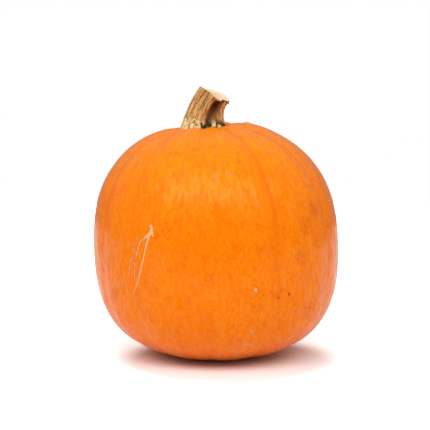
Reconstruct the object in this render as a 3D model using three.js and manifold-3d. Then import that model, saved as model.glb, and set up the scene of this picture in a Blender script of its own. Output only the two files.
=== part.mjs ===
// A ripe field pumpkin that stands upright on its blossom end, with the cut stem still on it.
// Millimetres, +Z up. The origin is the centre of the flat spot that the fruit rests on.
// The front is towards -Y. Azimuths are in degrees from the front, positive towards +X.

import * as THREE from "three";
import Module from "manifold-3d";
import { mergeVertices } from "three/addons/utils/BufferGeometryUtils.js";

// ---- Fruit ----
// Seen from the side, the plain body is an oval that is squarer than an ellipse, and more so below
// its middle than above. A squareness of 2 would be an ellipse. The fruit's own weight has pressed
// its lowest RESTING_CUT flat.
const HALF_WIDTH = 119.5;
const HEIGHT_ABOVE = 118.5;
const HEIGHT_BELOW = 109.5;
const SQUARENESS_ABOVE = 2.4;
const SQUARENESS_BELOW = 2.7;
const RESTING_CUT = 1.7;
const CENTRE_HEIGHT = HEIGHT_BELOW - RESTING_CUT;
const SIDE_LEAN = 1.5;
const LEAN_SPAN = 115;

// Where the grooves meet: round the stem above, and at the blossom end below.
const STEM_POLE = new THREE.Vector2(-11, 6);
const BLOSSOM_POLE = new THREE.Vector2(-4, 16);

// One groove on each side of every rib, with the depth that it has half-way up the fruit.
const GROOVES = [
  { azimuth: -57, depth: 1.3 },
  { azimuth: -34.5, depth: 1.2 },
  { azimuth: -1, depth: 1.0 },
  { azimuth: 30, depth: 1.5 },
  { azimuth: 59, depth: 1.3 },
  { azimuth: 86, depth: 1.2 },
  { azimuth: 120, depth: 1.6 },
  { azimuth: 151, depth: 1.2 },
  { azimuth: 183, depth: 1.5 },
  { azimuth: 214, depth: 1.3 },
  { azimuth: 245, depth: 1.4 },
  { azimuth: 275, depth: 1.2 },
];
const CREASE_WIDTH = 4;
const VALLEY_WIDTH = 11;
const CREASE_SHARE = 0.4;

// Grooves are deepest beside the stem, and run out on the seat under it and near the resting spot.
const GROOVE_GAIN_AT_STEM = 2.6;
const GROOVE_GAIN_ANGLE = 24;
const SEAT_ANGLE = 8;
const RUN_OUT_ANGLE = 152;
const RUN_OUT_SPAN = 9;

// The shallow hollow that the stem stands in, the shoulder that stands higher beside it, and the
// swollen end of the rib behind it.
const CROWN_SWELLS = [
  { x: -12, y: 5, rise: -8.5, radius: 22 },
  { x: 36, y: 10, rise: 2.2, radius: 24 },
  { x: 8, y: 27, rise: 2.2, radius: 8 },
];
const CROWN_BLEND = 0.5;

const COLUMNS_PER_RIB = 7;
const ROWS = 36;
const ROW_CROWDING = 0.06;

// ---- Stem ----
// The middle line of the stem, from the seat to the middle of the cut.
const STEM_BASE = new THREE.Vector3(-12, 6, 217.6);
const STEM_BEND = new THREE.Vector3(-13.4, 5.5, 239);
const STEM_TOP = new THREE.Vector3(-1.7, 3, 254.5);
const CUT_LEAN_RIGHT = 26;
const CUT_LEAN_FRONT = 8;
const ROOT_DEPTH = 9;

// The cut isn't flat. Each point of it rises by CUT_TWIST * x * y, so its near left and far right
// stand high. The sections bend to that from TWIST_START of the way up.
const CUT_TWIST = 0.014;
const TWIST_START = 0.6;

// The core is what the furrows leave, and it flares where the stem joins the fruit.
const CORE_RADIUS = 10.8;
const CORE_FLARE = 7.2;
const FLARE_POWER = 2.6;

// Long ridges that stand on the core. They turn a little about the stem on the way up, and the
// fourth one fades into the hollow under the right of the cut.
const RIDGES = [
  { azimuthBelow: -80, azimuthAbove: -88, width: 24, heightBelow: 5.2, heightAbove: 4.2 },
  { azimuthBelow: -50, azimuthAbove: -45, width: 25, heightBelow: 4.6, heightAbove: 3.4 },
  { azimuthBelow: -18, azimuthAbove: 2, width: 19, heightBelow: 4.8, heightAbove: 5.4 },
  { azimuthBelow: 34, azimuthAbove: 46, width: 17, heightBelow: 4.6, heightAbove: -2.6 },
  { azimuthBelow: 74, azimuthAbove: 88, width: 20, heightBelow: 7.2, heightAbove: 5.2 },
  { azimuthBelow: 124, azimuthAbove: 134, width: 21, heightBelow: 4.6, heightAbove: 3.4 },
  { azimuthBelow: 176, azimuthAbove: 186, width: 20, heightBelow: 4.4, heightAbove: 4.2 },
  { azimuthBelow: 228, azimuthAbove: 230, width: 22, heightBelow: 5.0, heightAbove: 4.0 },
];

// The front of the bark is scooped out, from a narrow crease at the foot to a wide hollow under
// the right of the cut. The hollow is deepest SCOOP_SHARE of the way up and keeps SCOOP_FLOOR of
// its depth further down.
const SCOOP = { azimuthBelow: 9, azimuthAbove: 52, widthBelow: 11, widthAbove: 30, depth: 3.2 };
const SCOOP_FLOOR = 0.5;
const SCOOP_SHARE = 0.72;
const SCOOP_SPAN = 0.26;
const SCOOP_END = 0.9;

// The edge of the cut hangs over the hollow, and a small knob stands to the right of it.
const LIP = { azimuth: 34, width: 24, rise: 5.5 };
const LIP_START = 0.86;
const LIP_END = 0.99;
const KNOB = { azimuth: 84, width: 13, rise: 1.6 };
const KNOB_SHARE = 0.92;
const KNOB_SPAN = 0.05;

const STEM_COLUMNS = 48;
const STEM_ROWS = 16;

const SEAT_GAP = 0.4;

const wasm = await Module();
wasm.setup();

function radians(degrees) {
  return THREE.MathUtils.degToRad(degrees);
}

// The turn from one azimuth to another, between -180 and 180 degrees.
function turnBetween(fromAzimuth, toAzimuth) {
  return THREE.MathUtils.euclideanModulo(toAzimuth - fromAzimuth + 180, 360) - 180;
}

function bell(distance, width) {
  return Math.exp(-((distance / width) ** 2));
}

function bodyRadius(polarAngle) {
  const above = polarAngle < Math.PI / 2;
  const squareness = above ? SQUARENESS_ABOVE : SQUARENESS_BELOW;
  const across = Math.sin(polarAngle) / HALF_WIDTH;
  const upright = Math.abs(Math.cos(polarAngle)) / (above ? HEIGHT_ABOVE : HEIGHT_BELOW);
  return (across ** squareness + upright ** squareness) ** (-1 / squareness);
}

// How deep the grooves are at a polar angle, as a share of their depth half-way up.
function grooveGain(polarDegrees) {
  const deepening = (GROOVE_GAIN_AT_STEM - 1) * bell(polarDegrees, GROOVE_GAIN_ANGLE);
  const seat = 1 - bell(polarDegrees, SEAT_ANGLE);
  const runOut = 1 / (1 + Math.exp((polarDegrees - RUN_OUT_ANGLE) * (4 / RUN_OUT_SPAN)));
  return (1 + deepening) * seat * runOut;
}

function grooveDepth(azimuth, polarDegrees) {
  let depth = 0;
  for (const groove of GROOVES) {
    const turn = turnBetween(groove.azimuth, azimuth);
    const crease = CREASE_SHARE * bell(turn, CREASE_WIDTH);
    const valley = (1 - CREASE_SHARE) * bell(turn, VALLEY_WIDTH);
    depth += groove.depth * (crease + valley);
  }
  return depth * grooveGain(polarDegrees);
}

// How far the crown stands above or below the plain round body.
function crownRise(x, y) {
  return CROWN_SWELLS.reduce((sum, swell) => {
    return sum + swell.rise * bell(Math.hypot(x - swell.x, y - swell.y), swell.radius);
  }, 0);
}

// A point of the skin. The polar angle runs from 0 at the stem's pole to 180 at the blossom end's.
function skinPoint(azimuth, polarDegrees) {
  const polar = radians(polarDegrees);
  const around = radians(azimuth);
  const height = Math.cos(polar);
  const pole = BLOSSOM_POLE.clone().lerp(STEM_POLE, (1 + height) / 2).divideScalar(HALF_WIDTH);
  const direction = new THREE.Vector3(
    Math.sin(polar) * Math.sin(around) + pole.x,
    -Math.sin(polar) * Math.cos(around) + pole.y,
    height,
  ).normalize();
  const reach = bodyRadius(Math.acos(direction.z)) - grooveDepth(azimuth, polarDegrees);
  const point = direction.multiplyScalar(reach);
  const leanShare = THREE.MathUtils.clamp(point.z / LEAN_SPAN, -1, 1);
  point.x -= SIDE_LEAN * Math.sin((leanShare * Math.PI) / 2);
  point.z += crownRise(point.x, point.y) * THREE.MathUtils.smoothstep(height, 0, CROWN_BLEND);
  point.z = Math.max(0, point.z + CENTRE_HEIGHT);
  return point;
}

// Columns stand closer together beside each groove than in the middle of a rib.
function columnAzimuths() {
  const azimuths = [];
  GROOVES.forEach((groove, index) => {
    const next = GROOVES[(index + 1) % GROOVES.length];
    const rib = THREE.MathUtils.euclideanModulo(next.azimuth - groove.azimuth, 360);
    for (let column = 0; column < COLUMNS_PER_RIB; column += 1) {
      const share = column / COLUMNS_PER_RIB;
      const crowded = share - (0.5 / (2 * Math.PI)) * Math.sin(2 * Math.PI * share);
      azimuths.push(groove.azimuth + rib * crowded);
    }
  });
  return azimuths;
}

// Rows stand closer together near the two poles than half-way up.
function rowPolarAngle(row) {
  const share = row / ROWS;
  return 180 * (share - ROW_CROWDING * Math.sin(2 * Math.PI * share));
}

// A closed body from a first point, rings of points that each run anticlockwise seen from the
// first point's side, and a last point.
function bodyFromRings(first, rings, last) {
  const points = [first, ...rings.flat(), last];
  const count = rings[0].length;
  const faces = [];
  const at = (ring, column) => 1 + ring * count + (column % count);
  for (let column = 0; column < count; column += 1) {
    faces.push(0, at(0, column), at(0, column + 1));
    faces.push(points.length - 1, at(rings.length - 1, column + 1), at(rings.length - 1, column));
    for (let ring = 0; ring + 1 < rings.length; ring += 1) {
      faces.push(at(ring, column), at(ring + 1, column), at(ring + 1, column + 1));
      faces.push(at(ring, column), at(ring + 1, column + 1), at(ring, column + 1));
    }
  }
  const geometry = new THREE.BufferGeometry();
  geometry.setAttribute("position", new THREE.Float32BufferAttribute(points.flatMap((p) => p.toArray()), 3));
  geometry.setIndex(faces);
  return geometry;
}

function fruitGeometry() {
  const azimuths = columnAzimuths();
  const rings = [];
  for (let row = 1; row < ROWS; row += 1) {
    rings.push(azimuths.map((azimuth) => skinPoint(azimuth, rowPolarAngle(row))));
  }
  return bodyFromRings(skinPoint(0, 0), rings, skinPoint(0, 180));
}

function stemRadius(azimuth, share) {
  let radius = CORE_RADIUS + CORE_FLARE * (1 - share) ** FLARE_POWER;
  for (const ridge of RIDGES) {
    const ridgeAzimuth = THREE.MathUtils.lerp(ridge.azimuthBelow, ridge.azimuthAbove, share);
    const height = THREE.MathUtils.lerp(ridge.heightBelow, ridge.heightAbove, share);
    radius += height * bell(turnBetween(ridgeAzimuth, azimuth), ridge.width);
  }
  return radius - scoopDepth(azimuth, share) + lipRise(azimuth, share) + knobRise(azimuth, share);
}

// How deep the hollow in the front of the bark is.
function scoopDepth(azimuth, share) {
  const scoopAzimuth = THREE.MathUtils.lerp(SCOOP.azimuthBelow, SCOOP.azimuthAbove, share);
  const width = THREE.MathUtils.lerp(SCOOP.widthBelow, SCOOP.widthAbove, share);
  const across = bell(turnBetween(scoopAzimuth, azimuth), width);
  const along = THREE.MathUtils.lerp(SCOOP_FLOOR, 1, bell(share - SCOOP_SHARE, SCOOP_SPAN));
  const ending = 1 - THREE.MathUtils.smoothstep(share, SCOOP_END, 1);
  return SCOOP.depth * across * along * ending;
}

// How far the edge of the cut stands out over the hollow.
function lipRise(azimuth, share) {
  const across = bell(turnBetween(LIP.azimuth, azimuth), LIP.width);
  return LIP.rise * across * THREE.MathUtils.smoothstep(share, LIP_START, LIP_END);
}

function knobRise(azimuth, share) {
  const across = bell(turnBetween(KNOB.azimuth, azimuth), KNOB.width);
  return KNOB.rise * across * bell(share - KNOB_SHARE, KNOB_SPAN);
}

// The sections turn from level at the seat to the slope of the cut at the top.
function stemRing(middle, share) {
  const tilt = new THREE.Euler(radians(CUT_LEAN_FRONT * share), radians(CUT_LEAN_RIGHT * share), 0);
  const ring = [];
  for (let column = 0; column < STEM_COLUMNS; column += 1) {
    const azimuth = (360 * column) / STEM_COLUMNS;
    const around = radians(azimuth);
    const radius = stemRadius(azimuth, share);
    const x = radius * Math.sin(around);
    const y = -radius * Math.cos(around);
    const bend = THREE.MathUtils.smoothstep(share, TWIST_START, 1);
    const spoke = new THREE.Vector3(x, y, CUT_TWIST * x * y * bend);
    ring.push(spoke.applyEuler(tilt).add(middle));
  }
  return ring;
}

function stemGeometry() {
  const middleLine = new THREE.QuadraticBezierCurve3(STEM_BASE, STEM_BEND, STEM_TOP);
  const root = STEM_BASE.clone().setZ(STEM_BASE.z - ROOT_DEPTH);
  const rings = [];
  for (let row = STEM_ROWS; row >= 0; row -= 1) {
    const share = row / STEM_ROWS;
    rings.push(stemRing(middleLine.getPoint(share), share));
  }
  rings.push(stemRing(root, 0));
  return bodyFromRings(STEM_TOP, rings, root);
}

function toSolid(geometry) {
  const shape = geometry.clone();
  for (const name of ["normal", "uv"]) {
    shape.deleteAttribute(name);
  }
  const merged = mergeVertices(shape);
  return new wasm.Manifold(
    new wasm.Mesh({
      numProp: 3,
      vertProperties: new Float32Array(merged.attributes.position.array),
      triVerts: new Uint32Array(merged.index.array),
    }),
  );
}

function toGeometry(solid) {
  const mesh = solid.getMesh();
  const geometry = new THREE.BufferGeometry();
  geometry.setAttribute("position", new THREE.BufferAttribute(mesh.vertProperties, 3));
  geometry.setIndex(new THREE.BufferAttribute(mesh.triVerts, 1));
  return geometry;
}

// The stem's root is cut away where the fruit is, so that its foot follows the hollow.
function seatedStemGeometry(fruit) {
  const raisedFruit = toSolid(fruit).translate([0, 0, SEAT_GAP]);
  return toGeometry(toSolid(stemGeometry()).subtract(raisedFruit));
}

function namedMesh(name, geometry, color, roughness) {
  geometry.computeVertexNormals();
  const mesh = new THREE.Mesh(geometry, new THREE.MeshStandardMaterial({ color, roughness, metalness: 0 }));
  mesh.name = name;
  return mesh;
}

const pumpkin = new THREE.Group();
const fruit = fruitGeometry();
pumpkin.add(namedMesh("fruit", fruit, 0xf77f0a, 0.35));
pumpkin.add(namedMesh("stem", seatedStemGeometry(fruit), 0xb98a52, 0.85));

export default pumpkin;
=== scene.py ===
"""A ripe field pumpkin on a pale studio floor, with a fine rind and a corky stem built over the CAD frame.

The shapes are worked out in millimetres with the same formula as the CAD part, and the frame's own
box turns them into metres. Azimuths are in degrees from the front (-Y), positive towards +X. Polar
angles run from 0 at the stem to 180 at the blossom end.
"""

import math

import bmesh
import bpy
import numpy as np
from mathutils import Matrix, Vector, noise


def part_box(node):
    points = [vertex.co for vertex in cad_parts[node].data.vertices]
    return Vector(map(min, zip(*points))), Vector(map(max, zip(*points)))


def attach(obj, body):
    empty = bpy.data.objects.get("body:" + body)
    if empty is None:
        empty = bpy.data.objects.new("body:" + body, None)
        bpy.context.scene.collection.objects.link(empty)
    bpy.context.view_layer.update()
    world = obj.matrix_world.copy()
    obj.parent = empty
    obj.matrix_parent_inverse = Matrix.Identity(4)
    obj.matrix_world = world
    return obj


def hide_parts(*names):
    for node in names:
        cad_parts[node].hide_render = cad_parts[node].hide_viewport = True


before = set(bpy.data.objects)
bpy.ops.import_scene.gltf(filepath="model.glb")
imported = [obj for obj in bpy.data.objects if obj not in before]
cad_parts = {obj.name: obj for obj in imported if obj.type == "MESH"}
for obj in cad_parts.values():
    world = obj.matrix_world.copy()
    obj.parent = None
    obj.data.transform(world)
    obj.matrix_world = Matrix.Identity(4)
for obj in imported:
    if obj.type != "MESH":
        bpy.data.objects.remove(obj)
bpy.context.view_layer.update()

# ---- The fruit's shape, as in the CAD part ----
HALF_WIDTH = 119.5
HEIGHT_ABOVE = 118.5
HEIGHT_BELOW = 109.5
SQUARENESS_ABOVE = 2.4
SQUARENESS_BELOW = 2.7
RESTING_CUT = 1.7
CENTRE_HEIGHT = HEIGHT_BELOW - RESTING_CUT
SIDE_LEAN = 1.5
LEAN_SPAN = 115.0
STEM_POLE = (-11.0, 6.0)
BLOSSOM_POLE = (-4.0, 16.0)

# Each groove's azimuth and its depth half-way up.
GROOVES = (
    (-57, 1.3),
    (-34.5, 1.2),
    (-1, 1.0),
    (30, 1.5),
    (59, 1.3),
    (86, 1.2),
    (120, 1.6),
    (151, 1.2),
    (183, 1.5),
    (214, 1.3),
    (245, 1.4),
    (275, 1.2),
)
CREASE_WIDTH = 4.0
VALLEY_WIDTH = 11.0
CREASE_SHARE = 0.4
GROOVE_GAIN_AT_STEM = 2.6
GROOVE_GAIN_ANGLE = 24.0
SEAT_ANGLE = 8.0
RUN_OUT_ANGLE = 152.0
RUN_OUT_SPAN = 9.0
CROWN_BLEND = 0.5

# Each swell of the crown: x, y, rise, radius. The first is the hollow that the stem stands in.
CROWN_SWELLS = (
    (-12, 5, -8.5, 22),
    (36, 10, 2.2, 24),
    (8, 27, 2.2, 8),
)

# ---- What the rind has besides ----
# Shallow furrows part-way across a rib: azimuth, depth, width.
FAINT_FURROWS = (
    (-46, 0.3, 3),
    (-22, 0.25, 3),
    (-13, 0.35, 3),
    (12, 0.35, 3),
    (21, 0.3, 3),
    (45, 0.35, 3),
    (72, 0.35, 4),
    (100, 0.35, 4),
    (129, 0.4, 4),
    (163, 0.4, 4),
    (197, 0.4, 4),
    (230, 0.4, 4),
    (260, 0.35, 4),
    (289, 0.35, 4),
)
# A sharp line runs down each groove, with a low lip on its right.
DEEPEST_GROOVE = 1.6
LINE_WIDTH = 1.1
LINE_DEPTH = 0.3
LINE_START = (12, 26)
LINE_FADE = (105, 55)
LINE_END = (160, 120)
LOWER_LINE = 0.25
SHADE_LINE_WIDTH = 1.6
LIP_TURN = 3.2
LIP_WIDTH = 1.6
LIP_RISE = 0.28
RIPPLE = 0.16
RIPPLES_AROUND = 16
RIPPLES_DOWN = 1.3
LUMP = 0.35
LUMP_SIZE = 45.0
GRAIN = 0.02
GRAINS = 60.0

FRUIT_COLUMNS = 400
FRUIT_ROWS = 160
ROW_CROWDING = 0.04
FINE_REACH = 2.6
FINE_STEPS = 2

# Corky scars stand a little proud. A stroke curves from its start to its end, pulled towards its bend,
# each given as azimuth and polar angle. It narrows from its half width in millimetres to its tip.
# The long forked scratch is on the left of the front, and the short ones are low on the right.
STROKES = (
    ((-24, 76), (-23, 78), (-23, 80), 1.6),
    ((-24, 78), (-26, 83), (-28, 90), 1.4),
    ((-28, 90), (-30, 98), (-35, 106), 0.9),
    ((-24, 79), (-26, 80), (-28, 82), 1.5),
    ((-29, 82), (-31, 85), (-32, 90), 0.7),
    ((-34, 86), (-33, 88), (-31, 88), 0.5),
    ((-35, 90), (-36, 94), (-37, 98), 0.5),
    ((-33, 92), (-33, 97), (-34, 101), 0.5),
    ((-38, 100), (-39, 102), (-40, 105), 0.3),
    ((19, 101), (19, 101.5), (19, 102), 1.2),
    ((17, 118), (18, 118.5), (20, 119), 0.6),
    ((15, 125), (18, 125), (22, 127), 0.6),
    ((10, 130), (13, 131), (17, 132), 0.6),
    ((-44, 115), (-44, 115.3), (-44, 115.6), 0.7),
    ((-53, 46), (-50, 44), (-48, 42), 0.5),
    ((58, 61), (56, 62), (54, 63), 0.4),
)
STROKE_STEPS = 6
TIP_SHARE = 0.45
SCAR_RISE = 0.25
SCAR_EDGE = (0.4, -0.5)
WART = ((94.0, 20.8, 3.0), (101.0, 20.8, 3.0))
WART_RISE = 1.3
WART_EDGE = (1.0, -2.6)

# Small dark pits: azimuth, polar angle and half width.
PITS = (
    (34, 104, 1.1),
    (29, 105, 0.9),
    (-51, 44, 0.8),
    (36, 65, 0.5),
    (69, 60, 1.0),
)
PIT_DEPTH = 0.2
PIT_EDGE = (0.3, -0.5)

# Dark specks lie loosely in patches: azimuth, polar angle and spread of the patch, and how many.
SPECK_PATCHES = (
    (20, 108, 7, 11),
    (2, 97, 5, 6),
    (15, 92, 5, 5),
    (-15, 75, 8, 9),
    (-24, 47, 6, 4),
    (20, 49, 4, 2),
    (-28, 104, 8, 4),
    (-54, 55, 6, 3),
)
SPECK_SEED = 7
SPECK_SIZES = (0.6, 1.0)

# Bruised places: azimuth, polar angle and half width.
BRUISES = (
    (-45, 99, 5),
    (31, 102, 5),
    (-21, 80, 4),
    (-32, 110, 4),
    (2, 97, 5),
    (45, 78, 9),
    (52, 72, 8),
    (40, 90, 7),
    (-50, 108, 8),
    (47, 112, 9),
)
MARK_REACH = 6.0

# ---- The stem's shape, as in the CAD part ----
STEM_BASE = Vector((-12, 6, 217.6))
STEM_BEND = Vector((-13.4, 5.5, 239))
STEM_TOP = Vector((-1.7, 3, 254.5))
CUT_LEAN_RIGHT = 26.0
CUT_LEAN_FRONT = 8.0
CUT_TWIST = 0.014
TWIST_START = 0.6
CORE_RADIUS = 10.8
CORE_FLARE = 7.2
FLARE_POWER = 2.6

# Azimuth below, azimuth above, width, height below, height above.
RIDGES = (
    (-80, -88, 24, 5.2, 4.2),
    (-50, -45, 25, 4.6, 3.4),
    (-18, 2, 19, 4.8, 5.4),
    (34, 46, 17, 4.6, -2.6),
    (74, 88, 20, 7.2, 5.2),
    (124, 134, 21, 4.6, 3.4),
    (176, 186, 20, 4.4, 4.2),
    (228, 230, 22, 5.0, 4.0),
)
# Under the right of the cut the bark is scooped out, and the cut's lip hangs over the scoop.
SCOOP_AZIMUTH_BELOW = 9.0
SCOOP_AZIMUTH_ABOVE = 52.0
SCOOP_WIDTH_BELOW = 11.0
SCOOP_WIDTH_ABOVE = 30.0
SCOOP_DEPTH = 3.2
SCOOP_FLOOR = 0.5
SCOOP_SHARE = 0.72
SCOOP_SPAN = 0.26
SCOOP_END = 0.9
KNOB_AZIMUTH = 84.0
KNOB_WIDTH = 13.0
KNOB_SHARE = 0.92
KNOB_SPAN = 0.05
KNOB_RISE = 1.6
CUT_LIP_AZIMUTH = 34.0
CUT_LIP_WIDTH = 24.0
CUT_LIP_RISE = 5.5
CUT_LIP_START = 0.86
CUT_LIP_END = 0.99
FULL_RIDGE = 5.0
STEM_COLUMNS = 260
STEM_SIDE_ROWS = 120
STEM_CUT_ROWS = 26
STEM_CAP_ROWS = 4
ROOT_SHARE = 0.12
ROOT_DEPTH = 6.0
FIBRE_TWIST = 8.0
FIBRE_LAYERS = ((0.55, 7, 2.2, 5.0), (0.275, 16, 5.0, 9.0), (0.22, 22, 38.0, 13.0))
CUT_DEPTH = 0.8
CUT_EDGE = 0.25
PITH_DEPTH = 1.2
PITH_PLACE = (2.0, -1.0)
PITH_RADIUS = 1.6
SPONGE_RISE = 0.35
SPONGE_PITCH = 0.35
SPONGE_EDGE = 0.1

# ---- The studio's sizes and lights ----
CAMERA_ELEVATION = 8.0
CAMERA_DISTANCE = 1.5
CAMERA_LENS = 128.7
CAMERA_SENSOR = 36.0
AIM_ABOVE = 1.08
AIM_LEFT = 0.037
SOFTBOX_SIZE = (2.6, 0.9)
SOFTBOX_DISTANCE = 1.5
SOFTBOX_AZIMUTH = -6.0
SOFTBOX_ELEVATION = 50.0
SOFTBOX_RADIANCE = 3.3
CEILING_BASE = 0.08
CEILING_LEAN = (0.00, -0.04, 0.62)
SIDE_FILL = 0.26
DARK_ROOM = 0.04
BACKDROP_RADIANCE = 0.36
BACKDROP_EDGE = (0.70, 0.98)
BACKDROP_TOP_SHARE = 0.35
SHADE_CENTRE = (0.012, -0.035, 0.0)
NEAR_GLOW = 0.5
NEAR_GLOW_SPAN = (0.084, 0.122)
FAR_GLOW = 0.75
FAR_GLOW_SPAN = (0.11, 0.45)
GLOW_CAST = 0.2
FLOOR_SIDE = 1.2
FLOOR_FRONT = -0.6
FLOOR_BACK = 1.3


# ---- Shape formulas ----
def bell(distance, width):
    return np.exp(-((distance / width) ** 2))


def turn_between(start, end):
    """The turn from one azimuth to another, between -180 and 180 degrees."""
    return (end - start + 180.0) % 360.0 - 180.0


def smooth(value, low, high):
    share = np.clip((value - low) / (high - low), 0.0, 1.0)
    return share * share * (3.0 - 2.0 * share)


def noise_at(points, seed=0.0):
    """Smooth noise from -1 to 1 at each point."""
    return np.array([noise.noise((x + seed, y - seed, z + 2 * seed)) for x, y, z in points])


def body_radius(polar_angle):
    above = polar_angle < math.pi / 2
    squareness = np.where(above, SQUARENESS_ABOVE, SQUARENESS_BELOW)
    across = np.abs(np.sin(polar_angle)) / HALF_WIDTH
    upright = np.abs(np.cos(polar_angle)) / np.where(above, HEIGHT_ABOVE, HEIGHT_BELOW)
    return (across**squareness + upright**squareness) ** (-1 / squareness)


def groove_gain(polar):
    deepening = (GROOVE_GAIN_AT_STEM - 1) * bell(polar, GROOVE_GAIN_ANGLE)
    seat = 1 - bell(polar, SEAT_ANGLE)
    run_out = 1 / (1 + np.exp((polar - RUN_OUT_ANGLE) * (4 / RUN_OUT_SPAN)))
    return (1 + deepening) * seat * run_out


def groove_depth(azimuth, polar):
    depth = 0.0
    for groove_azimuth, groove in GROOVES:
        turn = turn_between(groove_azimuth, azimuth)
        crease = CREASE_SHARE * bell(turn, CREASE_WIDTH)
        valley = (1 - CREASE_SHARE) * bell(turn, VALLEY_WIDTH)
        depth = depth + groove * (crease + valley)
    return depth * groove_gain(polar)


def crown_rise(x, y):
    height = 0.0
    for swell_x, swell_y, rise, radius in CROWN_SWELLS:
        height = height + rise * bell(np.hypot(x - swell_x, y - swell_y), radius)
    return height


def rib_direction(azimuth, polar):
    """A unit vector that has no seam: the place on a plain ball with the same angles."""
    around, down = np.radians(azimuth), np.radians(polar)
    return np.stack([np.sin(down) * np.sin(around), -np.sin(down) * np.cos(around), np.cos(down)], axis=-1)


def skin(azimuth, polar, relief=0.0):
    """Points of the rind in millimetres, raised by the relief."""
    azimuth, polar = np.asarray(azimuth, float), np.asarray(polar, float)
    direction = rib_direction(azimuth, polar)
    height = direction[..., 2].copy()
    share = (1 + height) / 2
    for axis in (0, 1):
        pole = BLOSSOM_POLE[axis] + (STEM_POLE[axis] - BLOSSOM_POLE[axis]) * share
        direction[..., axis] += pole / HALF_WIDTH
    direction /= np.linalg.norm(direction, axis=-1, keepdims=True)
    reach = body_radius(np.arccos(np.clip(direction[..., 2], -1, 1))) - groove_depth(azimuth, polar) + relief
    x, y, z = (direction[..., axis] * reach for axis in range(3))
    x = x - SIDE_LEAN * np.sin(np.clip(z / LEAN_SPAN, -1, 1) * math.pi / 2)
    z = z + crown_rise(x, y) * smooth(height, 0, CROWN_BLEND) + CENTRE_HEIGHT
    return np.stack([x, y, np.maximum(z, 0.0)], axis=-1)


# The frame's own fruit gives the scale from the formula's millimetres to the scene's metres.
FRUIT_LOW, FRUIT_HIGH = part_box("fruit")
PLAIN_AZIMUTHS, PLAIN_POLARS = np.meshgrid(np.arange(-180, 180, 1.0), np.arange(1, 180, 1.0))
PLAIN_SKIN = skin(PLAIN_AZIMUTHS, PLAIN_POLARS)
UNIT = (FRUIT_HIGH[0] - FRUIT_LOW[0]) / float(np.ptp(PLAIN_SKIN[..., 0]))
FRUIT_CENTRE = Vector((0, 0, CENTRE_HEIGHT * UNIT))


# ---- Marks on the rind ----
DEGREE = math.radians(HALF_WIDTH)


def mark_distance(azimuth, polar, marks):
    """Millimetres outside the nearest mark, negative inside it. A mark is a run of points with widths."""
    nearest = np.full(azimuth.shape, MARK_REACH)
    for mark in marks:
        ends = list(zip(mark, mark[1:])) or [(mark[0], mark[0])]
        for (azimuth_a, polar_a, width_a), (azimuth_b, polar_b, width_b) in ends:
            flatten = DEGREE * math.sin(math.radians((polar_a + polar_b) / 2))
            x = turn_between(azimuth_a, azimuth) * flatten
            y = (polar - polar_a) * DEGREE
            run_x = turn_between(azimuth_a, azimuth_b) * flatten
            run_y = (polar_b - polar_a) * DEGREE
            length = max(run_x * run_x + run_y * run_y, 1e-9)
            along = np.clip((x * run_x + y * run_y) / length, 0, 1)
            gap = np.hypot(x - along * run_x, y - along * run_y) - (width_a + (width_b - width_a) * along)
            nearest = np.minimum(nearest, gap)
    return nearest


def as_marks(points):
    return [(point,) for point in points]


def curved_mark(start, bend, end, half_width):
    """A stroke as narrowing points along the curve that its bend pulls."""
    points = []
    for share in np.linspace(0, 1, STROKE_STEPS):
        weights = ((1 - share) ** 2, 2 * share * (1 - share), share**2)
        azimuth, polar = (sum(w * p[axis] for w, p in zip(weights, (start, bend, end))) for axis in (0, 1))
        points.append((azimuth, polar, half_width * (1 - (1 - TIP_SHARE) * share)))
    return points


def scattered_specks():
    """Specks round the middle of each patch, as azimuth, polar angle and half width."""
    pick = np.random.default_rng(SPECK_SEED)
    specks = []
    for azimuth, polar, spread, count in SPECK_PATCHES:
        for _ in range(count):
            turn, drop = pick.normal(0, spread / 2, 2)
            specks.append((azimuth + turn, polar + drop, pick.uniform(*SPECK_SIZES)))
    return specks


SCARS = [curved_mark(*stroke) for stroke in STROKES]
SPECKS = scattered_specks()

FINE_MARKS = [*SCARS, WART, *as_marks(PITS), *as_marks(SPECKS)]


# ---- Meshes ----
def parameter_grid(columns, rows):
    """A flat grid over 0 to 1 both ways, as a bmesh."""
    grid = bmesh.new()
    bmesh.ops.create_grid(grid, x_segments=columns, y_segments=rows, size=0.5)
    for vertex in grid.verts:
        vertex.co.x += 0.5
        vertex.co.y += 0.5
    return grid


def parameters_of(grid):
    return np.array([vertex.co[:2] for vertex in grid.verts])


def refine(grid, near):
    """Halves the grid's cells where near(across, down) says so."""
    for _ in range(FINE_STEPS):
        across, down = parameters_of(grid).T
        chosen = near(across, down)
        grid.verts.index_update()
        edges = [edge for edge in grid.edges if all(chosen[vertex.index] for vertex in edge.verts)]
        bmesh.ops.subdivide_edges(grid, edges=edges, cuts=1, use_grid_fill=True)


def finish_grid(name, grid, place, attributes):
    """Wraps the flat grid into a closed body with its map, and stores what the material reads."""
    across, down = parameters_of(grid).T
    points = place(across, down) * UNIT
    values = attributes(across, down)
    uv = grid.loops.layers.uv.new("OFBake")
    for face in grid.faces:
        for loop in face.loops:
            loop[uv].uv = (loop.vert.co.x, 1 - loop.vert.co.y)
    layers = {}
    for key, value in values.items():
        kind = grid.verts.layers.float_vector if value.ndim == 2 else grid.verts.layers.float
        layers[key] = kind.new(key)
    for index, vertex in enumerate(grid.verts):
        vertex.co = points[index]
        for key, layer in layers.items():
            vertex[layer] = values[key][index]
    bmesh.ops.remove_doubles(grid, verts=grid.verts, dist=2e-6)
    bmesh.ops.recalc_face_normals(grid, faces=grid.faces)
    for face in grid.faces:
        face.smooth = True
    mesh = bpy.data.meshes.new(name)
    grid.to_mesh(mesh)
    grid.free()
    piece = bpy.data.objects.new(name, mesh)
    bpy.context.scene.collection.objects.link(piece)
    return piece


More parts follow.
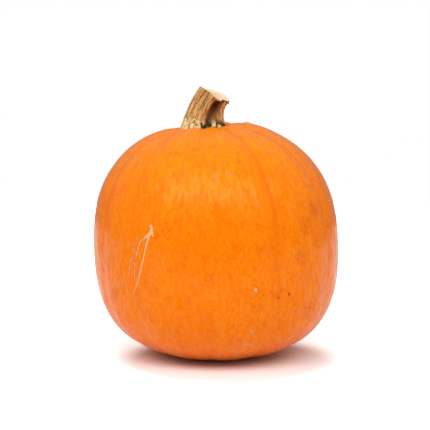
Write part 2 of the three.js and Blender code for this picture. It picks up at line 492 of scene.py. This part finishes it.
def fruit_angles(across, down):
    azimuth = across * 360 - 180
    polar = 180 * (down - ROW_CROWDING * np.sin(2 * math.pi * down))
    return azimuth, polar



def groove_line(azimuth, polar, turn=0.0, width=LINE_WIDTH):
    """How near a line beside each groove is, from 0 to 1, fading towards the blossom end."""
    lines = 0.0
    for groove_azimuth, depth in GROOVES:
        strength = (depth / DEEPEST_GROOVE) ** 2
        lines = lines + strength * bell(turn_between(groove_azimuth + turn, azimuth), width)
    lower_share = LOWER_LINE + (1 - LOWER_LINE) * smooth(polar, *LINE_FADE)
    return lines * smooth(polar, *LINE_START) * lower_share * smooth(polar, *LINE_END)


def fruit_relief(azimuth, polar):
    """Millimetres of fine shape on top of the plain rind."""
    ball = rib_direction(azimuth, polar)
    middle = np.sin(np.radians(polar))
    relief = LUMP * noise_at(ball * (HALF_WIDTH / LUMP_SIZE), 3.0)
    for furrow_azimuth, depth, width in FAINT_FURROWS:
        relief -= depth * bell(turn_between(furrow_azimuth, azimuth), width) * middle
    relief -= LINE_DEPTH * groove_line(azimuth, polar)
    relief += LIP_RISE * groove_line(azimuth, polar, LIP_TURN, LIP_WIDTH)
    around = np.radians(azimuth)
    across, along = RIPPLES_AROUND, RIPPLES_DOWN
    ribs = np.stack([np.sin(around) * across, np.cos(around) * across, np.radians(polar) * along], axis=-1)
    relief += RIPPLE * noise_at(ribs, 7.0) * middle
    relief += GRAIN * noise_at(ball * GRAINS, 11.0)
    relief += SCAR_RISE * smooth(mark_distance(azimuth, polar, SCARS), *SCAR_EDGE)
    relief += WART_RISE * smooth(mark_distance(azimuth, polar, [WART]), *WART_EDGE)
    relief -= PIT_DEPTH * smooth(mark_distance(azimuth, polar, as_marks(PITS)), *PIT_EDGE)
    return relief


def make_fruit():
    grid = parameter_grid(FRUIT_COLUMNS, FRUIT_ROWS)

    def near(across, down):
        return mark_distance(*fruit_angles(across, down), FINE_MARKS) < FINE_REACH

    def place(across, down):
        azimuth, polar = fruit_angles(across, down)
        return skin(azimuth, polar, fruit_relief(azimuth, polar))

    def attributes(across, down):
        azimuth, polar = fruit_angles(across, down)
        around = np.radians(azimuth)
        return {
            "rib": np.stack([np.sin(around), np.cos(around), np.radians(polar)], axis=-1),
            "scar": mark_distance(azimuth, polar, [*SCARS, WART]),
            "pit": mark_distance(azimuth, polar, as_marks(PITS)),
            "speck": mark_distance(azimuth, polar, as_marks(SPECKS)),
            "bruise": mark_distance(azimuth, polar, as_marks(BRUISES)),
            "groove": groove_depth(azimuth, polar),
            "groove_shade_line": groove_line(azimuth, polar, 0.0, SHADE_LINE_WIDTH),
        }

    refine(grid, near)
    return finish_grid("rind", grid, place, attributes)


# ---- Stem ----
def ridge_height(azimuth, share):
    height = 0.0
    for azimuth_below, azimuth_above, width, below, above in RIDGES:
        ridge_azimuth = azimuth_below + (azimuth_above - azimuth_below) * share
        rise = below + (above - below) * share
        height = height + rise * bell(turn_between(ridge_azimuth, azimuth), width)
    return height


def stem_furrows(azimuth, share):
    """The ridges, the scoop and the cut's lip together, in millimetres over the core."""
    scoop_azimuth = SCOOP_AZIMUTH_BELOW + (SCOOP_AZIMUTH_ABOVE - SCOOP_AZIMUTH_BELOW) * share
    scoop_width = SCOOP_WIDTH_BELOW + (SCOOP_WIDTH_ABOVE - SCOOP_WIDTH_BELOW) * share
    scoop = SCOOP_DEPTH * bell(turn_between(scoop_azimuth, azimuth), scoop_width)
    scoop = scoop * smooth(share, 1.0, SCOOP_END)
    scoop = scoop * (SCOOP_FLOOR + (1 - SCOOP_FLOOR) * bell(share - SCOOP_SHARE, SCOOP_SPAN))
    knob = KNOB_RISE * bell(turn_between(KNOB_AZIMUTH, azimuth), KNOB_WIDTH)
    knob = knob * bell(share - KNOB_SHARE, KNOB_SPAN)
    lip = CUT_LIP_RISE * bell(turn_between(CUT_LIP_AZIMUTH, azimuth), CUT_LIP_WIDTH)
    return ridge_height(azimuth, share) - scoop + knob + lip * smooth(share, CUT_LIP_START, CUT_LIP_END)


def stem_profile(down):
    """The shares of the way up the stem and in from its skin, from the buried cap to the cut's middle."""
    rows = STEM_CAP_ROWS + STEM_SIDE_ROWS + STEM_CUT_ROWS
    cap_end = STEM_CAP_ROWS / rows
    side_end = (STEM_CAP_ROWS + STEM_SIDE_ROWS) / rows
    share = np.interp(down, [0, cap_end, side_end, 1], [-ROOT_SHARE, -ROOT_SHARE, 1, 1])
    inset = np.interp(down, [0, cap_end, side_end, 1], [1, 0, 0, 1])
    return share, inset


def middle_line(share):
    """The stem's middle line, which runs straight down below its base."""
    up = np.clip(share, 0, 1)[:, None]
    base, bend, top = (np.array(point) for point in (STEM_BASE, STEM_BEND, STEM_TOP))
    points = base * (1 - up) ** 2 + bend * (2 * up * (1 - up)) + top * up**2
    points[:, 2] += np.minimum(share, 0) / ROOT_SHARE * ROOT_DEPTH
    return points


def stem_fibre(azimuth, share):
    """Fine relief of the bark. Each layer has its rise, its pitch round and up the stem, and its seed."""
    around = np.radians(azimuth + FIBRE_TWIST * share)
    relief = 0.0
    for rise, round_pitch, up_pitch, seed in FIBRE_LAYERS:
        sides = [np.sin(around) * round_pitch, np.cos(around) * round_pitch, share * up_pitch]
        relief = relief + rise * noise_at(np.stack(sides, axis=-1), seed)
    return relief


def stem_point(azimuth, share, inset):
    up = np.clip(share, 0, 1)
    around = np.radians(azimuth)
    radius = CORE_RADIUS + CORE_FLARE * (1 - up) ** FLARE_POWER + stem_furrows(azimuth, up)
    radius = radius + stem_fibre(azimuth, up)
    reach = radius * (1 - inset)
    spokes = np.stack([reach * np.sin(around), -reach * np.cos(around), np.zeros_like(reach)], axis=-1)
    spokes[:, 2] = CUT_TWIST * spokes[:, 0] * spokes[:, 1] * smooth(up, TWIST_START, 1)
    spokes[:, 2] += cut_relief(spokes[:, 0], spokes[:, 1], inset) * (share >= 1)
    lean_x, lean_y = np.radians(CUT_LEAN_FRONT * up), np.radians(CUT_LEAN_RIGHT * up)
    x = spokes[:, 0] * np.cos(lean_y) + spokes[:, 2] * np.sin(lean_y)
    z = -spokes[:, 0] * np.sin(lean_y) + spokes[:, 2] * np.cos(lean_y)
    y = spokes[:, 1] * np.cos(lean_x) - z * np.sin(lean_x)
    z = spokes[:, 1] * np.sin(lean_x) + z * np.cos(lean_x)
    return np.stack([x, y, z], axis=-1) + middle_line(share)


def cut_relief(x, y, inset):
    """The cut is a little sunken in its middle, with a pith dimple and a rough spongy face."""
    sunken = CUT_DEPTH * smooth(inset, 0.0, CUT_EDGE)
    pith = PITH_DEPTH * bell(np.hypot(x - PITH_PLACE[0], y - PITH_PLACE[1]), PITH_RADIUS)
    rough = SPONGE_RISE * noise_at(np.stack([x * SPONGE_PITCH, y * SPONGE_PITCH, x * 0], axis=-1), 21.0)
    return (rough * smooth(inset, 0.0, SPONGE_EDGE) - sunken - pith) * (inset > 0)


def make_stem():
    rows = STEM_CAP_ROWS + STEM_SIDE_ROWS + STEM_CUT_ROWS
    grid = parameter_grid(STEM_COLUMNS, rows)

    def place(across, down):
        share, inset = stem_profile(down)
        return stem_point(across * 360 - 180, share, inset)

    def attributes(across, down):
        share, inset = stem_profile(down)
        azimuth = across * 360 - 180
        around = np.radians(azimuth)
        return {
            "fibre": np.stack([np.sin(around), np.cos(around), share], axis=-1),
            "furrow": 1 - np.clip(stem_furrows(azimuth, np.clip(share, 0, 1)) / FULL_RIDGE, -1, 1),
            "inset": inset,
            "height": share,
        }

    return finish_grid("corky_stem", grid, place, attributes)


# ---- Materials ----
class Graph:
    """The nodes of a new material, or of the world. Each call adds one node and gives its output."""

    def __init__(self, name="", tree=None):
        if tree is None:
            self.material = bpy.data.materials.new(name)
            self.material.use_nodes = True
            tree = self.material.node_tree
        self.tree = tree
        self.tree.nodes.clear()

    def node(self, kind, inputs, **settings):
        node = self.tree.nodes.new(kind)
        for key, value in settings.items():
            setattr(node, key, value)
        for key, value in inputs.items():
            socket = node.inputs[key]
            if isinstance(value, bpy.types.NodeSocket):
                self.tree.links.new(value, socket)
            else:
                socket.default_value = value
        return node

    def stored(self, name, vector=False):
        node = self.node("ShaderNodeAttribute", {}, attribute_name=name)
        return node.outputs["Vector" if vector else "Fac"]

    def place(self):
        return self.node("ShaderNodeTexCoord", {}).outputs["Object"]

    def scaled(self, vector, factors):
        return self.node("ShaderNodeVectorMath", {0: vector, 1: factors}, operation="MULTIPLY").outputs[0]

    def noise(self, vector, scale, detail=2.0, roughness=0.5):
        inputs = {"Vector": vector, "Scale": scale, "Detail": detail, "Roughness": roughness}
        return self.node("ShaderNodeTexNoise", inputs).outputs["Fac"]

    def math(self, operation, first, second=0.0, clamp=False):
        node = self.node("ShaderNodeMath", {0: first, 1: second}, operation=operation, use_clamp=clamp)
        return node.outputs[0]

    def smooth(self, value, low, high, to_low=0.0, to_high=1.0):
        inputs = {"Value": value, "From Min": low, "From Max": high, "To Min": to_low, "To Max": to_high}
        node = self.node("ShaderNodeMapRange", inputs, interpolation_type="SMOOTHSTEP", clamp=True)
        return node.outputs[0]

    def mix(self, factor, first, second, blend="MIX"):
        inputs = {0: factor, 6: first, 7: second}
        node = self.node("ShaderNodeMix", inputs, data_type="RGBA", blend_type=blend)
        return node.outputs[2]

    def bump(self, height, distance, strength=1.0):
        inputs = {"Height": height, "Distance": distance, "Strength": strength}
        return self.node("ShaderNodeBump", inputs).outputs[0]

    def finish(self, inputs):
        shader = self.node("ShaderNodeBsdfPrincipled", inputs)
        output = self.node("ShaderNodeOutputMaterial", {})
        self.tree.links.new(shader.outputs[0], output.inputs["Surface"])
        return self.material


def rind_material():
    """Waxy orange rind: darker streaks along the ribs, fine specks, corky scars and a few dark pits, with
    painted shade down the grooves and painted light that makes the upper half lighter and yellower.
    """
    graph = Graph("rind")
    place = graph.place()
    rib = graph.stored("rib", vector=True)
    ragged = graph.noise(place, 900.0, 2.0)

    bands = graph.noise(graph.scaled(rib, (8, 8, 0.8)), 1.0, 2.0)
    patches = graph.noise(place, 26.0, 4.0, 0.55)
    blotches = graph.noise(place, 75.0, 5.0, 0.65)
    mottle = graph.noise(graph.scaled(rib, (46, 46, 24)), 1.0, 4.0, 0.65)
    grain = graph.noise(place, 420.0, 3.0, 0.7)
    orange = graph.mix(graph.smooth(bands, 0.3, 0.7), (0.88, 0.203, 0.0015, 1), (0.86, 0.182, 0.0012, 1))
    orange = graph.mix(graph.smooth(patches, 0.35, 0.7, 0.0, 0.6), orange, (0.90, 0.218, 0.002, 1))
    orange = graph.mix(graph.smooth(blotches, 0.48, 0.68, 0.0, 0.75), orange, (0.80, 0.142, 0.0015, 1))
    orange = graph.mix(graph.smooth(mottle, 0.48, 0.7, 0.0, 0.55), orange, (0.78, 0.135, 0.0012, 1))
    orange = graph.mix(graph.smooth(grain, 0.46, 0.66, 0.0, 0.6), orange, (0.72, 0.118, 0.002, 1))
    # Painted shade: the rind darkens down each groove, and most of all along the sharp line in it.
    groove = graph.smooth(graph.stored("groove"), 0.5, 1.5, 0.0, 0.3)
    orange = graph.mix(groove, orange, (0.84, 0.150, 0.0012, 1))
    groove_shade_line = graph.smooth(graph.stored("groove_shade_line"), 0.15, 0.9, 0.0, 0.4)
    orange = graph.mix(groove_shade_line, orange, (0.66, 0.105, 0.0015, 1))
    polar = graph.node("ShaderNodeSeparateXYZ", {0: rib}).outputs[2]
    # Painted light from above: the upper half is lighter and yellower, fading out below the middle.
    high = graph.smooth(polar, 1.65, 0.6, 0.0, 0.75)
    orange = graph.mix(high, orange, (1.10, 1.30, 1.5, 1), "MULTIPLY")

    cells = graph.node("ShaderNodeTexVoronoi", {"Vector": place, "Scale": 210.0, "Randomness": 1.0})
    cell_pick = graph.node("ShaderNodeSeparateColor", {0: cells.outputs["Color"]})
    dots = graph.smooth(cells.outputs["Distance"], 0.26, 0.1)
    chosen = graph.smooth(cell_pick.outputs[0], 0.6, 0.95)
    crowd = graph.smooth(graph.noise(place, 30.0), 0.4, 0.62)
    dots = graph.math("MULTIPLY", graph.math("MULTIPLY", dots, chosen), crowd)
    orange = graph.mix(graph.math("MULTIPLY", dots, 0.8), orange, (0.66, 0.080, 0.004, 1))

    bruise = graph.smooth(graph.stored("bruise"), 1.0, -4.0, 0.0, 0.7)
    bruise = graph.math("MULTIPLY", bruise, graph.smooth(grain, 0.35, 0.65))
    orange = graph.mix(bruise, orange, (0.62, 0.10, 0.006, 1))
    frayed = graph.math("MULTIPLY", graph.math("SUBTRACT", ragged, 0.5), 1.1)
    speck = graph.smooth(graph.math("ADD", graph.stored("speck"), frayed), 0.5, -0.5, 0.0, 0.75)
    orange = graph.mix(speck, orange, (0.62, 0.085, 0.010, 1))
    scar_edge = graph.math("ADD", graph.stored("scar"), frayed)
    rim = graph.smooth(scar_edge, 0.9, 0.15, 0.0, 0.5)
    orange = graph.mix(rim, orange, (0.50, 0.075, 0.006, 1))
    cork = graph.mix(graph.noise(place, 700.0), (0.84, 0.42, 0.19, 1), (0.62, 0.36, 0.17, 1))
    blossom = graph.smooth(graph.math("ADD", polar, graph.math("MULTIPLY", frayed, 0.08)), 3.04, 3.08)
    scar = graph.math("MAXIMUM", graph.smooth(scar_edge, 0.2, -0.2), blossom)
    colour = graph.mix(scar, orange, cork)
    pit = graph.smooth(graph.math("ADD", graph.stored("pit"), frayed), 0.3, -0.4, 0.0, 0.9)
    colour = graph.mix(pit, colour, (0.14, 0.03, 0.02, 1))

    wax = graph.smooth(graph.noise(graph.scaled(rib, (26, 26, 8)), 1.0, 4.0, 0.65), 0.35, 0.65, 0.14, 0.32)
    roughness = graph.math("ADD", wax, graph.math("MULTIPLY", scar, 0.35))
    fibres = graph.noise(graph.scaled(rib, (22, 22, 7)), 1.0, 2.0)
    normal = graph.bump(fibres, 0.0012, 0.5)
    sheen = graph.noise(graph.scaled(rib, (30, 30, 12)), 1.0, 4.0, 0.65)
    gloss = graph.smooth(sheen, 0.38, 0.62, 0.06, 0.42)
    return graph.finish(
        {
            "Base Color": colour,
            "Roughness": roughness,
            "Normal": normal,
            "IOR": 1.45,
            "Specular IOR Level": gloss,
            "Specular Tint": (1.0, 0.9, 0.35, 1.0),
        }
    )


def stem_material():
    """Dry cork: tan ridges with painted highlights on their crests, brown streaks, furrows darkened by their
    own brown and by painted shade, a pale cut and mottled toes with painted shade on their right side.
    """
    graph = Graph("corky_stem")
    place = graph.place()
    fibre = graph.stored("fibre", vector=True)
    height = graph.stored("height")
    furrow = graph.stored("furrow")
    inset = graph.stored("inset")

    streaks = graph.noise(graph.scaled(fibre, (8, 8, 1.4)), 1.0, 5.0, 0.65)
    threads = graph.noise(graph.scaled(fibre, (22, 22, 2.4)), 1.0, 3.0, 0.6)
    flecks = graph.noise(place, 420.0, 4.0, 0.6)
    tan = graph.mix(graph.smooth(streaks, 0.38, 0.60), (0.96, 0.60, 0.24, 1), (0.64, 0.28, 0.062, 1))
    tan = graph.mix(graph.smooth(threads, 0.46, 0.58, 0.0, 0.95), tan, (0.16, 0.055, 0.010, 1))
    tan = graph.mix(graph.smooth(flecks, 0.56, 0.70, 0.0, 0.5), tan, (0.80, 0.55, 0.28, 1))
    tan = graph.mix(graph.smooth(flecks, 0.46, 0.34, 0.0, 0.75), tan, (0.19, 0.075, 0.016, 1))
    # The furrows darken in two steps to near black, partly the bark's own brown and partly painted shade.
    brown = graph.mix(graph.smooth(furrow, 0.2, 0.8, 0.0, 0.8), tan, (0.22, 0.080, 0.016, 1))
    # Painted highlight: the tops of the ridges are lighter cream.
    painted_crest_highlight = graph.smooth(furrow, 0.1, -0.35, 0.0, 0.45)
    brown = graph.mix(painted_crest_highlight, brown, (0.90, 0.58, 0.26, 1))
    bark = graph.mix(graph.smooth(furrow, 0.7, 1.3, 0.0, 0.8), brown, (0.085, 0.030, 0.006, 1))

    foot = graph.smooth(graph.math("ADD", height, graph.math("MULTIPLY", streaks, 0.3)), 0.56, 0.36)
    pale = graph.mix(graph.smooth(flecks, 0.40, 0.60), (0.62, 0.39, 0.14, 1), (0.96, 0.71, 0.39, 1))
    # The mould spots are the stem's own, but painted shade thickens them on the right side and turns the
    # foot's furrows there near black.
    east = graph.smooth(graph.node("ShaderNodeSeparateXYZ", {0: fibre}).outputs[0], -0.6, 0.1)
    mould = graph.math("ADD", graph.noise(place, 210.0, 4.0), graph.math("MULTIPLY", east, 0.08))
    green = graph.smooth(mould, 0.53, 0.59)
    pale = graph.mix(green, pale, (0.045, 0.042, 0.016, 1))
    hollow = graph.math("MULTIPLY", graph.smooth(furrow, 0.45, 0.95, 0.0, 0.85), east)
    pale = graph.mix(hollow, pale, (0.028, 0.026, 0.010, 1))
    bark = graph.mix(foot, bark, pale)

    sponge = graph.noise(place, 500.0, 3.0)
    cream = graph.mix(graph.smooth(sponge, 0.35, 0.7), (0.96, 0.75, 0.49, 1), (0.80, 0.56, 0.30, 1))
    cut = graph.smooth(inset, 0.0, 0.04)
    colour = graph.mix(cut, bark, cream)

    normal = graph.bump(graph.math("ADD", flecks, threads), 0.0009, 0.8)
    return graph.finish(
        {"Base Color": colour, "Roughness": 0.85, "Normal": normal, "Specular IOR Level": 0.25}
    )


def floor_material():
    """A white sheet lit by painted glow: it glows brightly to the camera and faintly to everything else, but
    not round the contact, which stays in shadow, so the glow's edge is the shadow's edge.
    """
    graph = Graph("studio_floor")
    place = graph.place()
    dust = graph.noise(place, 4.0)
    colour = graph.mix(dust, (0.95, 0.95, 0.95, 1), (0.93, 0.93, 0.93, 1))
    measure = graph.node("ShaderNodeVectorMath", {0: place, 1: SHADE_CENTRE}, operation="DISTANCE")
    away = measure.outputs["Value"]
    # Painted light: the glow rises away from the contact and draws the contact shadow's edge.
    near_glow = graph.smooth(away, *NEAR_GLOW_SPAN, 0.0, NEAR_GLOW)
    far_glow = graph.smooth(away, *FAR_GLOW_SPAN, 0.0, FAR_GLOW)
    camera_ray = graph.node("ShaderNodeLightPath", {}).outputs["Is Camera Ray"]
    camera_sees = graph.smooth(camera_ray, 0.0, 1.0, GLOW_CAST, 1.0)
    return graph.finish(
        {
            "Base Color": colour,
            "Roughness": 0.9,
            "Specular IOR Level": 0.1,
            "Emission Color": (1, 1, 1, 1),
            "Emission Strength": graph.math("MULTIPLY", graph.math("ADD", near_glow, far_glow), camera_sees),
        }
    )


# ---- The studio ----
def make_floor():
    mesh = bpy.data.meshes.new("studio_floor")
    corners = [(-FLOOR_SIDE, FLOOR_FRONT, 0), (FLOOR_SIDE, FLOOR_FRONT, 0)]
    corners += [(FLOOR_SIDE, FLOOR_BACK, 0), (-FLOOR_SIDE, FLOOR_BACK, 0)]
    mesh.from_pydata(corners, [], [(0, 1, 2, 3)])
    mesh.materials.append(floor_material())
    floor = bpy.data.objects.new("studio_floor", mesh)
    bpy.context.scene.collection.objects.link(floor)


def make_world():
    """White to the camera, and otherwise a bright ceiling, paler sides and a white backdrop behind."""
    world = bpy.data.worlds.new("studio")
    bpy.context.scene.world = world
    world.use_nodes = True
    graph = Graph(tree=world.node_tree)
    direction = graph.node("ShaderNodeTexCoord", {}).outputs["Generated"]
    lean = graph.node("ShaderNodeVectorMath", {0: direction, 1: CEILING_LEAN}, operation="DOT_PRODUCT")
    split = graph.node("ShaderNodeSeparateXYZ", {0: direction}).outputs
    sides = graph.math("MULTIPLY", graph.math("MULTIPLY", split["X"], split["X"]), SIDE_FILL)
    ceiling = graph.math("ADD", graph.math("ADD", lean.outputs["Value"], CEILING_BASE), sides)
    ceiling = graph.math("MAXIMUM", ceiling, DARK_ROOM)
    behind = graph.smooth(split["Y"], *BACKDROP_EDGE)
    fade = graph.smooth(split["Z"], 1.0, 0.0, BACKDROP_TOP_SHARE, 1.0)
    backdrop = graph.math("MULTIPLY", graph.math("MULTIPLY", behind, fade), BACKDROP_RADIANCE)
    light = graph.math("MAXIMUM", ceiling, backdrop)
    camera_sees = graph.node("ShaderNodeLightPath", {}).outputs["Is Camera Ray"]
    seen = graph.mix(camera_sees, light, (1, 1, 1, 1))
    background = graph.node("ShaderNodeBackground", {"Color": seen, "Strength": 1.0})
    output = graph.node("ShaderNodeOutputWorld", {})
    graph.tree.links.new(background.outputs[0], output.inputs["Surface"])


def towards(azimuth, elevation):
    """The direction from the fruit to a place round it."""
    around, up = math.radians(azimuth), math.radians(elevation)
    return Vector((math.sin(around) * math.cos(up), -math.cos(around) * math.cos(up), math.sin(up)))


def make_softbox():
    light = bpy.data.lights.new("softbox", "AREA")
    light.shape = "RECTANGLE"
    light.size, light.size_y = SOFTBOX_SIZE
    light.energy = SOFTBOX_RADIANCE * math.pi * light.size * light.size_y
    softbox = bpy.data.objects.new("softbox", light)
    back = towards(SOFTBOX_AZIMUTH, SOFTBOX_ELEVATION)
    softbox.location = FRUIT_CENTRE + back * SOFTBOX_DISTANCE
    softbox.rotation_euler = (-back).to_track_quat("-Z", "Y").to_euler()
    bpy.context.scene.collection.objects.link(softbox)


def make_camera():
    camera = bpy.data.objects.new("camera", bpy.data.cameras.new("camera"))
    camera.data.lens = CAMERA_LENS
    camera.data.sensor_width = CAMERA_SENSOR
    back = towards(0, CAMERA_ELEVATION)
    camera.location = FRUIT_CENTRE + back * CAMERA_DISTANCE
    look = towards(0, CAMERA_ELEVATION - AIM_ABOVE)
    camera.rotation_euler = (-look).to_track_quat("-Z", "Y").to_euler()
    camera.rotation_euler.z += math.radians(AIM_LEFT)
    bpy.context.scene.collection.objects.link(camera)
    bpy.context.scene.camera = camera


def build():
    fruit = make_fruit()
    fruit.data.materials.append(rind_material())
    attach(fruit, "root")
    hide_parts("fruit")

    stem = make_stem()
    stem.data.materials.append(stem_material())
    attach(stem, "root")
    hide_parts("stem")

    make_floor()
    make_world()
    make_softbox()
    make_camera()
    bpy.context.scene.view_settings.view_transform = "Standard"


build()
